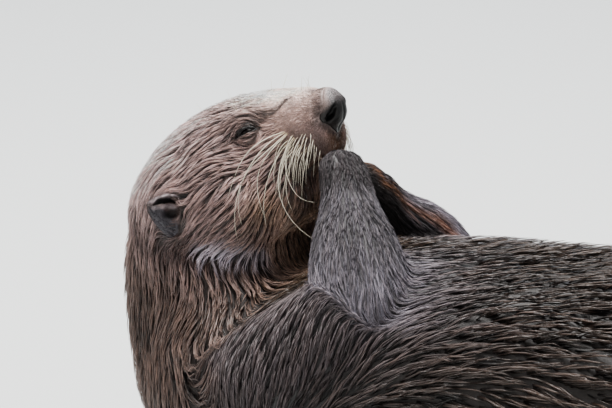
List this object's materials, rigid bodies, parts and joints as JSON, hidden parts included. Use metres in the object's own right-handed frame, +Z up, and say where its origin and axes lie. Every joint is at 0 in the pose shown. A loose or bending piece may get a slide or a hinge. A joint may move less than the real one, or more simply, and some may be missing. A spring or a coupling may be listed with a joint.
{
  "type": "sea otter",
  "caption": "Life-size still model of a sea otter lying on its back, head raised, forepaws held to the mouth, webbed hind feet lifted and tail laid straight.",
  "frame": {"origin": "on the floor below the middle of the animal's bounding box", "axes": "+X from the head to the tail, +Y to the animal's left, +Z up, the way its belly faces"},
  "size_m": [1.0774, 0.4602, 0.3071],
  "materials": {
    "pale_head_fur": "wet fur, head",
    "dark_body_fur": "wet fur, trunk",
    "grey_forelimb_fur": "wet fur, forelimbs",
    "black_nose_pad": "moist bare skin",
    "dark_eye": "wet, glossy"
  },
  "bodies": {
    "root": {"belly": "dark_body_fur", "chest": "dark_body_fur", "ear_left": "pale_head_fur", "ear_right": "pale_head_fur", "eye_left": "dark_eye", "eye_right": "dark_eye", "forearm_left": "grey_forelimb_fur", "forearm_right": "grey_forelimb_fur", "forepaw_left": "grey_forelimb_fur", "forepaw_right": "grey_forelimb_fur", "head": "pale_head_fur", "hind_foot_left": "dark_body_fur", "hind_foot_right": "dark_body_fur", "hips": "dark_body_fur", "lower_jaw": "pale_head_fur", "lower_leg_left": "dark_body_fur", "lower_leg_right": "dark_body_fur", "neck": "dark_body_fur", "nose": "black_nose_pad", "tail": "dark_body_fur", "thigh_left": "dark_body_fur", "thigh_right": "dark_body_fur", "upper_arm_left": "dark_body_fur", "upper_arm_right": "dark_body_fur"}
  },
  "joints": []
}
